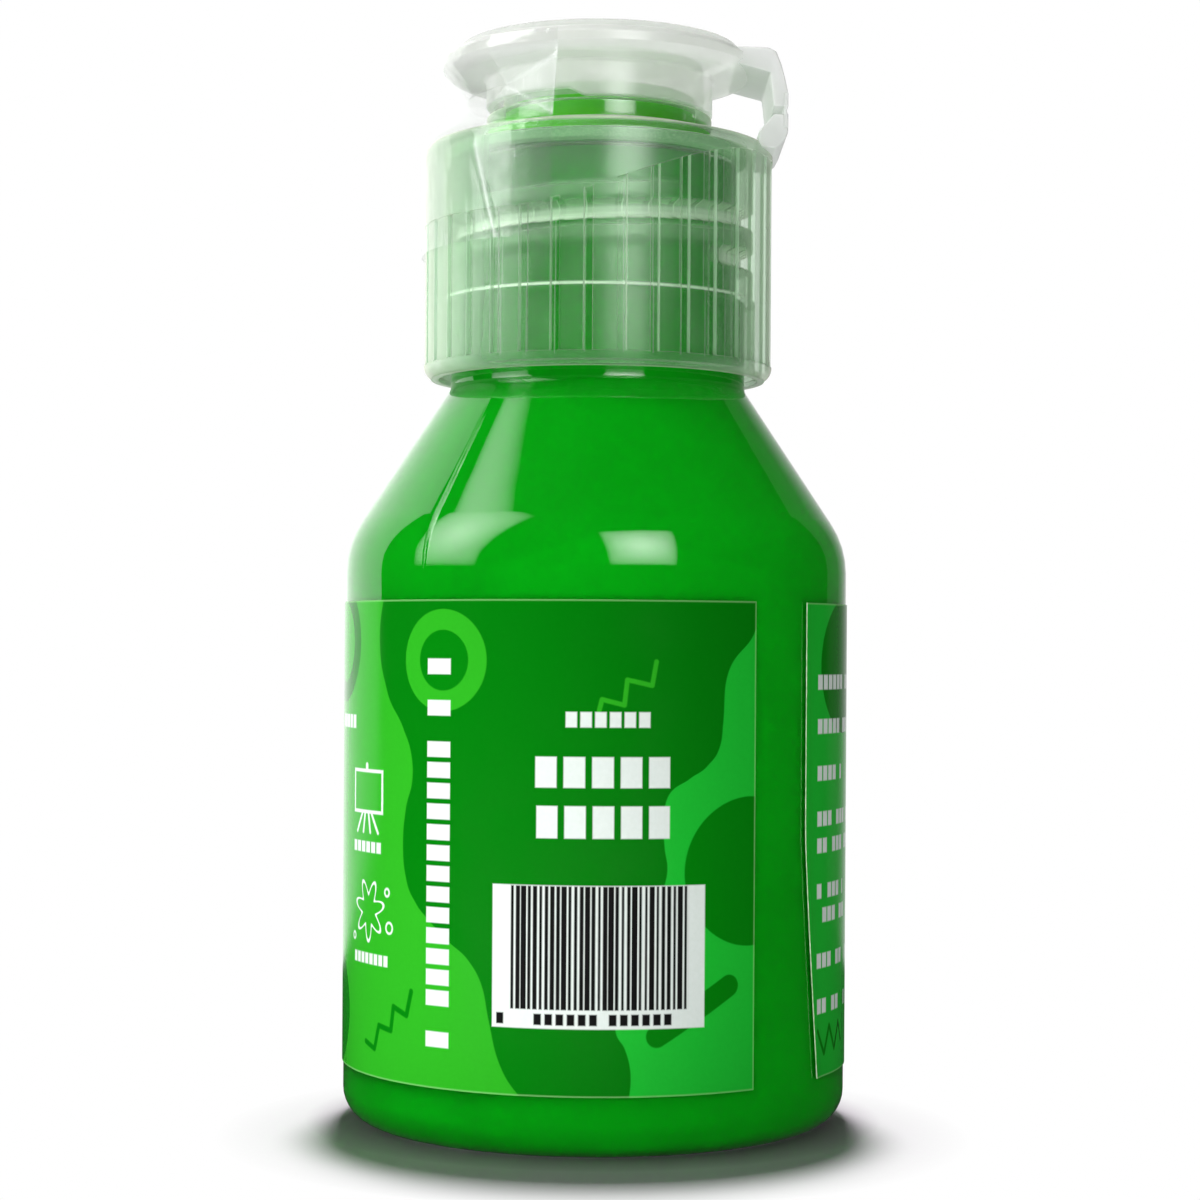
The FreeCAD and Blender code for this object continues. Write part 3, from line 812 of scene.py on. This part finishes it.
def push_up(lift, pieces):
    """The bottom's outline, from the axis to the foot ring, lifted by so much."""
    return bowed((0, PUSH_UP + lift), (PUSH_R, lift), PUSH_BOW, pieces)


def inside(grow=0.0):
    """The corners of the bottle's inside, from its foot up to its neck, grown by a little."""
    inner = BODY_R - WALL + grow
    return [(PUSH_R, BASE - grow), (inner, BASE - grow, FOOT_BEND - WALL),
            (inner, SHOULDER_BASE - 0.14, SHOULDER_BEND - WALL),
            (BORE_R + grow, BORE_BASE, 1.0)]


def make_bottle(material):
    """The bottle: push-up, foot ring, straight wall, cone, stepped neck and its thread."""
    outline = push_up(0.0, 10)[:-1]
    outline += rounded([
        (PUSH_R - 1.0, 0.35), (PUSH_R + 0.2, 0.0, 0.7), (BODY_R, 0.0, FOOT_BEND),
        (BODY_R, SHOULDER_BASE, SHOULDER_BEND), (NECK_R, SHOULDER_TOP, 1.1),
        (NECK_R, NECK_STEP, 0.2), (ROOT_R, NECK_STEP, 0.15), (ROOT_R, THREADS_LOW),
        (ROOT_R, THREADS_HIGH), (ROOT_R, FINISH_TOP, 0.3), (BORE_R, FINISH_TOP, 0.2),
        *reversed(inside()),
    ])[1:]
    outline += push_up(BASE, 8)[::-1][1:]
    outline = denser(outline, THREADS_LOW, THREADS_HIGH, THREAD_ROW)
    outline = denser(outline, *STRAIGHT_WALL, STRAIGHT_ROW)

    def shape(index, r, z, azimuth):
        if NECK_STEP < z < FINISH_TOP and ROOT_R - 0.1 < r < CREST_R:
            r += (CREST_R - ROOT_R) * ridge(azimuth, z, NECK_THREAD)
        on_wall = r > BODY_R - 0.2 and z > STRAIGHT_WALL[0]
        on_neck = r > NECK_R - 0.05 and 44 < z < NECK_STEP - 0.3
        if (on_wall or on_neck) and from_parting(azimuth) < 0.3:
            r += 0.05
        return r, z

    def worn(azimuth, r, z):
        if not NECK_STEP + 0.2 < z < FINISH_TOP - 0.2:
            return 0.0
        height = max(0.0, (r - ROOT_R - 0.1) / (CREST_R - ROOT_R))
        return height * (1.2 - lower_side(azimuth, z, NECK_THREAD))

    piece = turned("bottle_shell", outline, around_parting(even_azimuths(220)), material,
                   shape=shape)
    store(piece, "crest", worn)
    finish_piece(piece, "bottle", "bottle")


def make_paint(material):
    """The paint: it wets the inside of the bottle, up into the neck."""
    surface = FINISH_TOP - 0.15
    outline = push_up(BASE - WET, 8)[:-1]
    outline += rounded([*inside(WET), (BORE_R + WET, surface - 0.15), (BORE_R - 0.5, surface),
                        (0, surface)])
    piece = turned("paint_body", outline, even_azimuths(180), material)
    finish_piece(piece, "bottle", "paint_fill")


def make_gasket(material):
    """The foam ring that the cap holds on the top of the neck."""
    corners = ((GASKET_BORE, GASKET_BASE), (GASKET_R, GASKET_BASE), (GASKET_R, GASKET_TOP),
               (GASKET_BORE, GASKET_TOP))
    outline = rounded([(r, z, 0.15) for r, z in corners])
    piece = turned("foam_gasket", outline, even_azimuths(120), material, closed=True)
    finish_piece(piece, "gasket", "neck_gasket")


def make_label(printed, core):
    """The wrap, with a bare strip between its ends. The first end slants and lifts a little."""
    lift, lift_span = 0.16, 5.0
    slant, slant_top = 5.5, 23.0
    off_wall = 0.004
    turn = 360.0 - (LABEL_START - LABEL_END)
    columns, rows = 240, 26
    points = []
    for layer in (0, LABEL_R - BODY_R):
        for column in range(columns + 1):
            for row in range(rows + 1):
                z = LABEL_BASE + (LABEL_TOP - LABEL_BASE) * row / rows
                slanted = slant * max(0.0, (slant_top - z) / (slant_top - LABEL_BASE)) ** 1.2
                along = (turn - slanted) * column / columns
                end = smooth(1 - along / lift_span)
                r = BODY_R + off_wall + layer + lift * end * end
                points.append(place(LABEL_START + slanted + along, r, z))
    faces, edges = two_layers(columns, rows)
    piece = make_piece("printed_wrap", points, faces, printed)
    piece.data.materials.append(core)
    for polygon in piece.data.polygons[edges:]:
        polygon.material_index = 1
    finish_piece(piece, "bottle", "wrap_label")


def sweep_height(azimuth):
    """The height of the line over the grooves: low round the thumb side, high at the hinge."""
    from_thumb = abs((azimuth + 90 + 180) % 360 - 180)
    return SWEEP_LOW + SWEEP_RISE * smooth((from_thumb - SWEEP_START) / SWEEP_SPAN)


def groove_azimuths():
    """Azimuths that crowd together at the walls of each groove and spread over each rib."""
    per_mm = 360.0 / (2 * math.pi * CAP_R)
    half, wall, beside = GROOVE_WIDTH / 2, 0.045, 0.10
    side = (0.12, half - wall / 2, half + wall / 2, half + beside)
    offsets = [-offset for offset in side[::-1]] + list(side)
    offsets += steps(half + beside, GROOVE_PITCH / per_mm - half - beside, 5)[:-1]
    return [GROOVE_AZIMUTH + groove * GROOVE_PITCH + offset * per_mm
            for groove in range(GROOVES) for offset in offsets]


def in_groove(azimuth):
    """Whether an azimuth is at the bottom of a groove."""
    off = abs((azimuth - GROOVE_AZIMUTH + GROOVE_PITCH / 2) % GROOVE_PITCH - GROOVE_PITCH / 2)
    return math.radians(off) * CAP_R < GROOVE_WIDTH / 2


def make_cap(material):
    """The cap: ribbed skirt, deck, spout and inner thread. The skirt's rows are laid out to a
    level line and moved to the sweeping one."""
    level = SWEEP_LOW + SWEEP_RISE / 2
    ceiling = CAP_BAND_TOP + 0.3
    outer = rounded([(CAP_BORE + RELIEF, CAP_BASE, 0.25), (CAP_R, CAP_BASE, 1.05),
                     (CAP_R, GROOVE_BASE + 0.3)])[:-2]
    first_row = len(outer)
    rows = [GROOVE_BASE, GROOVE_BASE + 0.05, *steps(GROOVE_BASE + 0.05, level - 0.05, 14),
            level, level + 0.08, *steps(level + 0.08, CAP_BAND_TOP, 6)]
    outer += [(CAP_R, z) for z in rows]
    last_row = len(outer) - 1
    upper = rounded([
        (CAP_R, CAP_BAND_TOP), (CAP_R, CAP_EDGE, 0.9), (DECK_FLAT, DECK_TOP, 0.5),
        (BOSS_R, DECK_TOP, 0.15), (BOSS_R, BOSS_TOP, 0.3), (SPOUT_R, BOSS_TOP, 0.1),
        (SPOUT_R, SPOUT_TOP, 0.3), (ORIFICE_R, SPOUT_TOP, 0.15), (ORIFICE_R, SPOUT_UNDER, 0.1),
        (SPOUT_BORE, SPOUT_UNDER, 0.1), (SPOUT_BORE, BOSS_UNDER, 0.1),
        (BOSS_BORE, BOSS_UNDER, 0.1), (BOSS_BORE, DECK_UNDER, 0.1), (CAP_BORE, DECK_UNDER, 0.3),
        (CAP_BORE, THREADS_HIGH), (CAP_BORE, THREADS_LOW), (CAP_BORE, RELIEF_TOP + 0.25),
        (CAP_BORE, RELIEF_TOP + 0.1), (CAP_BORE + RELIEF, RELIEF_TOP, 0.05),
        (CAP_BORE + RELIEF, CAP_BASE + 0.4)])[1:]
    outline = outer + denser(upper, THREADS_LOW, THREADS_HIGH, THREAD_ROW)

    def shape(index, r, z, azimuth):
        if first_row <= index <= last_row:
            if GROOVE_BASE < z < level:
                r -= RIB_SUNK + GROOVE_DEPTH * in_groove(azimuth)
            fixed = GROOVE_BASE if z <= level else ceiling
            return r, fixed + (z - fixed) * (sweep_height(azimuth) - fixed) / (level - fixed)
        if index > last_row and abs(r - CAP_BORE) < 0.01 and z < DECK_UNDER - 0.4:
            r -= (CAP_BORE - CAP_CREST) * ridge(azimuth, z, CAP_THREAD)
        return r, z

    def thickness(azimuth, r, z):
        if r > CAP_BORE + RELIEF + 0.01 or z > DECK_UNDER - 0.1:
            return 0.0
        if abs(z - RELIEF_TOP - 0.05) < 0.09:
            return 0.8
        height = max((CAP_BORE - r) / (CAP_BORE - CAP_CREST), -0.05)
        return height * (0.2 + lower_side(azimuth, z, CAP_THREAD))

    piece = turned("cap_shell", outline, groove_azimuths(), material, closed=True, shape=shape,
                   sharp=50.0)
    store(piece, "thick", thickness)
    finish_piece(piece, "cap", "cap_body")


def make_spout_paint(material):
    """Paint that has run up into the hollow of the spout and wets its wall."""
    boss, spout = BOSS_BORE + WET, SPOUT_BORE + WET
    step, top = BOSS_UNDER + WET, SPOUT_UNDER + WET
    outline = [(0, SPOUT_PAINT_BASE), (boss, SPOUT_PAINT_BASE), (boss, step), (spout, step),
               (spout, top), (1.5, top), (0, top)]
    piece = turned("spout_fill", outline, even_azimuths(120), material)
    finish_piece(piece, "cap", "spout_paint")


def make_lid(material):
    """The lid: domed disc with a round rim, a stepped skirt and a sealing pin."""
    rim = (LID_RIM_TOP - LID_UNDER) / 2
    outline = rounded([
        (0, PIN_BASE), (PIN_TIP_R, PIN_BASE, 0.25), (PIN_R, PIN_TAPER_TOP, 0.2),
        (PIN_R, LID_CEILING, 0.3), (SKIRT_BORE, LID_CEILING, 0.4),
        (SKIRT_BORE, SKIRT_BASE, 0.15), (SKIRT_R, SKIRT_BASE, 0.15), (SKIRT_R, LID_UNDER, 0.3),
        (LID_R, LID_UNDER, rim * 0.95), (LID_R, LID_RIM_TOP, rim * 0.95)])
    outline += bowed((0, LID_TOP), (LID_R - rim * 1.2, LID_RIM_TOP), 1.0, 10)[::-1]

    def shape(index, r, z, azimuth):
        if z < SKIRT_BASE + 0.3 and SKIRT_BORE - 0.2 < r < SKIRT_R + 0.1:
            x = r * math.sin(math.radians(azimuth))
            z += SKIRT_STEP * smooth((-0.9 - x) / 1.5)
        return r, z

    piece = turned("lid_shell", outline, even_azimuths(200), material, shape=shape)
    finish_piece(piece, "lid", "flip_lid")


def make_lug(name, side, material):
    """A lug of the hinge, from its side outline of (x, z) points, with rounded edges."""
    count = len(side)
    points = [(x, y, z) for y in (-HINGE_HALF, HINGE_HALF) for x, z in side]
    faces = [list(range(count)), list(range(2 * count - 1, count - 1, -1))]
    faces += [[index, index + count, (index + 1) % count + count, (index + 1) % count]
              for index in range(count)]
    lug = make_piece(name, points, faces, material)
    edge = lug.modifiers.new("bevel", "BEVEL")
    edge.width = 0.12 * MM
    edge.segments = 3
    edge.limit_method = "ANGLE"
    edge.angle_limit = math.radians(20)
    graph = bpy.context.evaluated_depsgraph_get()
    mesh = bpy.data.meshes.new_from_object(lug.evaluated_get(graph))
    lug.modifiers.clear()
    lug.data = mesh
    mesh.shade_smooth()
    mesh.set_sharp_from_angle(angle=math.radians(35))
    return lug


def make_hinge(material):
    """Two lugs, and the thin web over them, which is not made to bend as the lid opens."""
    lug_out = HINGE_OUT - WEB_THICK
    bending = 0.3
    gap_in, gap_low, gap_high = lug_out - 0.8, HINGE_Z - bending, HINGE_Z + bending
    lower = [(12.2, 75.0), (13.5, 74.9), (14.1, 75.4), (HINGE_OUT, 76.1), (HINGE_OUT, HINGE_LOW),
             (lug_out, HINGE_LOW), (lug_out, gap_low), (gap_in, gap_low), (12.2, 76.2)]
    upper = [(10.4, 81.4), (13.05, 80.7), (gap_in, gap_high), (lug_out, gap_high),
             (lug_out, HINGE_HIGH), (HINGE_OUT, HINGE_HIGH), (14.2, 80.2), (13.9, 81.3),
             (13.5, 82.3), (12.9, 82.6), (10.4, 82.7)]
    for name, side, body in (("hinge_lug_lower", lower, "cap"), ("hinge_lug_upper", upper, "lid")):
        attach(make_lug(name, side, material), body)
    make_web(material, lug_out)


def make_web(material, lug_out):
    """The web: a strip up the outside of the lugs, thinned across its middle where it bends."""
    thinning, thin_half = 0.14, 0.35
    rows, corners = 16, 6
    points, faces = [], []
    for z in [HINGE_LOW, *steps(HINGE_LOW, HINGE_HIGH, rows)]:
        out = HINGE_OUT - thinning * (1 - smooth(abs(z - HINGE_Z) / thin_half))
        side = ((lug_out, HINGE_HALF), (out - 0.05, HINGE_HALF), (out, HINGE_HALF - 0.08))
        points += [(x, -y, z) for x, y in side] + [(x, y, z) for x, y in side[::-1]]
    for row in range(rows):
        for corner in range(corners):
            here, other = row * corners + corner, row * corners + (corner + 1) % corners
            faces.append([here, other, other + corners, here + corners])
    faces.append(list(range(corners))[::-1])
    faces.append([rows * corners + corner for corner in range(corners)])
    web = make_piece("hinge_web", points, faces, material)
    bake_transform(web)
    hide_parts("living_hinge")


def film_keys(azimuth):
    """The corners of the film's line at an azimuth, from its lip down to its lower edge."""
    if azimuth > TENT:
        share = (azimuth - TENT) / (FILM_LAST - TENT)
        apex = place(TENT, *FILM_VALLEY)
        middle = [apex.lerp(place(FILM_LAST, r, z), share) for r, z in TENT_END]
    else:
        middle = [place(azimuth, *FILM_VALLEY)] * 2
    lip, skirt = ([place(azimuth, r, z) for r, z in part] for part in (FILM_LIP, FILM_SKIRT))
    return lip + middle + skirt


def film_fold(azimuth, z):
    """How near a place on the skirt is to the film's long slanting fold: 1 on it, 0 away."""
    fold_at = -41.0 + 8.0 * (73.6 - z) / 6.8
    return math.exp(-((azimuth - fold_at) / 0.8) ** 2) if z < 74.5 else 0.0


def make_film(material):
    """Seal film round the thumb side, with a tent at its end, fine creases and one long fold."""
    pieces_between = (2, 3, 8, 5, 8, 3, 16)
    ridges = (sum(pieces_between[:3]), sum(pieces_between[:4]))
    columns, rows = 150, sum(pieces_between)
    off_cap, creasing, folding, thick = 0.05, 0.07, 0.16, 0.05
    points, whitened = [], []
    for layer in (0.0, thick):
        for column in range(columns + 1):
            azimuth = FILM_FIRST + (FILM_LAST - FILM_FIRST) * column / columns
            keys = film_keys(azimuth)
            line = [start.lerp(end, piece / pieces)
                    for start, end, pieces in zip(keys, keys[1:], pieces_between)
                    for piece in range(pieces)]
            tented, last = azimuth > TENT, column > columns - 2
            for row, point in enumerate([*line, keys[-1]]):
                crease = abs(space_noise.fractal(point * 0.55, 0.6, 2.1, 3))
                fold = film_fold(azimuth, point.z)
                push = off_cap + creasing * crease + folding * fold + layer
                points.append(point + place(azimuth, 1, 0) * push)
                if tented and row in ridges:
                    whitened.append(0.36)
                elif last and 4 < row < ridges[1] + 8:
                    whitened.append(0.2)
                elif tented and ridges[0] - 8 < row < ridges[1] + 4:
                    whitened.append(0.14)
                else:
                    whitened.append(0.3 * fold)
    faces, _ = two_layers(columns, rows, rising=False)
    piece = make_piece("seal_band", points, faces, material, sharp=50.0)
    fold_line = piece.data.attributes.new("fold", "FLOAT", "POINT")
    fold_line.data.foreach_set("value", whitened)
    finish_piece(piece, "lid", "seal_film")


# The cap's green milk colour is painted light, the paint's light scattered in its wall. Each edge
# colour is darker, a painted shade on walls seen edge on.
cap_plastic = natural_pp(
    "cap_plastic", haze=0.10, edge_haze=0.78, dull=0.24, tint=(0.84, 0.92, 0.84, 1),
    milk_and_glow=(0.43, 0.61, 0.44, 1), edge_milk_and_shade=(0.45, 0.44, 0.36, 1), passing=(0.80, 0.87, 0.80, 1),
    ribbed=True)
lid_plastic = natural_pp(
    "lid_plastic", haze=0.32, edge_haze=0.20, dull=0.28, tint=(0.915, 0.92, 0.91, 1),
    milk_and_glow=(0.80, 0.80, 0.785, 1), edge_milk_and_shade=(0.56, 0.56, 0.55, 1), passing=(0.88, 0.90, 0.88, 1))
hinge_plastic = natural_pp(
    "hinge_plastic", haze=0.70, edge_haze=0.10, dull=0.40, tint=(0.90, 0.90, 0.90, 1),
    milk_and_glow=(0.66, 0.67, 0.66, 1), edge_milk_and_shade=(0.58, 0.59, 0.58, 1), passing=(0.88, 0.90, 0.88, 1))

make_bottle(clear_pet())
make_paint(green_paint("green_paint"))
make_label(printed_label(), label_core())
make_gasket(foam())
make_cap(cap_plastic)
# The spout's paint is the same paint made brighter: painted light that makes up for the light the
# cap and lid hold back.
make_spout_paint(green_paint("spout_paint", painted_brightness=2.5))
make_lid(lid_plastic)
make_hinge(hinge_plastic)
make_film(clear_film())


# ---- stage

def make_flat(name, corners, material, *unseen_by):
    """A flat piece of the stage, which some kinds of ray don't see."""
    flat = make_piece(name, corners, [[0, 1, 2, 3]], material)
    for kind in unseen_by:
        setattr(flat, "visible_" + kind, False)
    return flat


def make_floor():
    """A pale floor: it takes the lamp's shadow close to the foot, with a painted shade that darkens
    its colour right round the foot, and is plain white further off.
    """
    material, tree = new_material("floor")
    x, y, _ = coordinates(tree)
    shadow_centre, shadow_full, shadow_end = -0.006, 0.0200, 0.0285
    away = distance(x, y - shadow_centre).ranged(shadow_full, shadow_end, 0, 1)
    # Painted shade: close round the foot the floor's colour darkens; both colours lean to magenta
    # to offset the green light the bottle throws on the floor.
    painted_shade_full, painted_shade_end = 0.0180, 0.0225
    painted_contact_shade = distance(x, y).ranged(painted_shade_full, painted_shade_end, 0, 1)
    colour = mix_colour(tree, painted_contact_shade, (0.38, 0.29, 0.38, 1), (0.85, 0.80, 0.85, 1))
    near = shader(tree, "BsdfDiffuse", Color=colour)
    far = shader(tree, "Emission", Strength=1.0)
    output(tree, mixed(tree, away, near, far))
    reach = 3000
    corners = [(-reach, -reach, 0), (reach, -reach, 0), (reach, reach, 0), (-reach, reach, 0)]
    return make_flat("floor", corners, material, "glossy")


def make_world():
    """White to look at, nearly white to look through, and dim to light and to reflect."""
    world = bpy.data.worlds.new("studio")
    bpy.context.scene.world = world
    world.use_nodes = True
    tree = world.node_tree
    tree.nodes.clear()
    rays = add_node(tree, "LightPath")
    camera, through, gloss = (Field(tree, rays.outputs[f"Is {kind} Ray"])
                              for kind in ("Camera", "Transmission", "Glossy"))
    strength = camera.most(through * 0.78).most(gloss * 0.03)
    other = (camera + through + gloss) * -1 + 1
    sky = shader(tree, "Background", Color=(1, 1, 1, 1), Strength=strength.most(other * 0.11))
    output(tree, sky, "World")


def add_softbox(name, centre, target, width, height, power, lights=True, unlit=None):
    """A lamp in millimetres that faces a target, strongest in the middle and soft at its edges.
    It may show in gloss without lighting anything, and may leave one object unlit."""
    lamp = bpy.data.lights.new(name, "AREA")
    lamp.shape = "RECTANGLE"
    lamp.size = width * MM
    lamp.size_y = height * MM
    lamp.energy = power
    lamp.use_nodes = True
    tree = lamp.node_tree
    tree.nodes.clear()
    over = add_node(tree, "SeparateXYZ", Vector=add_node(tree, "NewGeometry").outputs["Parametric"])
    beside, above = (Field(tree, socket) * 2 - 1 for socket in over.outputs[:2])
    soft = (abs(beside).power(8.0) * -1 + 1) * (abs(above).power(8.0) * -1 + 1)
    hot = ((beside * beside + above * above) * -2.5).math("EXPONENT")
    output(tree, shader(tree, "Emission", Strength=soft * (hot * 1.1 + 0.78)), "Light")

    lamp_object = bpy.data.objects.new(name, lamp)
    bpy.context.scene.collection.objects.link(lamp_object)
    way = Vector(target) - Vector(centre)
    lamp_object.location = Vector(centre) * MM
    lamp_object.rotation_euler = way.to_track_quat("-Z", "Y").to_euler()
    lamp_object.visible_camera = False
    lamp_object.visible_diffuse = lights
    if unlit:
        skipped = bpy.data.collections.new(name + "_skips")
        skipped.objects.link(unlit)
        lamp_object.light_linking.receiver_collection = skipped
        skipped.collection_objects[0].light_linking.link_state = "EXCLUDE"
    return lamp_object


def make_camera():
    """The viewpoint: low and close, level, turned a third of a degree about its own axis."""
    camera = bpy.data.cameras.new("camera")
    camera.lens = 79.2
    camera.sensor_width = 36.0
    camera.shift_y = 0.04
    camera.clip_start = 0.01
    view = bpy.data.objects.new("camera", camera)
    bpy.context.scene.collection.objects.link(view)
    level = Matrix.Rotation(math.radians(90), 4, "X")
    roll = Matrix.Rotation(math.radians(0.37), 4, "Z")
    view.matrix_world = Matrix.Translation((0.00033, -0.207, 0.03665)) @ level @ roll
    bpy.context.scene.camera = view


def make_backdrop():
    """A wall behind the object, brighter to the left, seen only in its reflections."""
    material, tree = new_material("backdrop")
    strength = coordinates(tree)[0].ranged(-0.1, 0.2, 1.5, 0.14)
    output(tree, shader(tree, "Emission", Strength=strength))
    left, right, back, low, high = -620, 330, 260, -20, 900
    corners = [(left, back, low), (right, back, low), (right, back, high), (left, back, high)]
    make_flat("backdrop", corners, material, "camera", "transmission", "diffuse", "shadow")


def add_floor_lamp(floor):
    """A lamp overhead, a little behind, that lights only the floor and gives the short shadow."""
    lamp = add_softbox("floor_lamp", (0, 110, 480), (0, 0, 0), 60, 60, 2.4)
    lit = bpy.data.collections.new("lit_by_floor_lamp")
    lit.objects.link(floor)
    lamp.light_linking.receiver_collection = lit


floor = make_floor()
make_world()
make_backdrop()
add_floor_lamp(floor)
add_softbox("left_softbox", (-315, -105, 260), (0, 0, 50), 270, 420, 1.7, unlit=floor)
add_softbox("right_softbox", (215, -560, 330), (0, 0, 60), 380, 460, 3.4, lights=False, unlit=floor)
for name, centre, target, width, height, power in (
        ("right_fill", (215, -560, 330), (0, 0, 60), 380, 460, 0.3),
        ("top_fill", (-160, -170, 420), (0, 0, 50), 300, 300, 1.15),
        ("rear_fill", (160, 430, 240), (0, 0, 50), 300, 300, 0.7),
        ("low_fill", (-20, -75, 3), (0, -20, 12), 200, 40, 0.10)):
    add_softbox(name, centre, target, width, height, power, unlit=floor).visible_glossy = False
make_camera()
bpy.context.scene.view_settings.view_transform = "Standard"

bpy.context.view_layer.update()
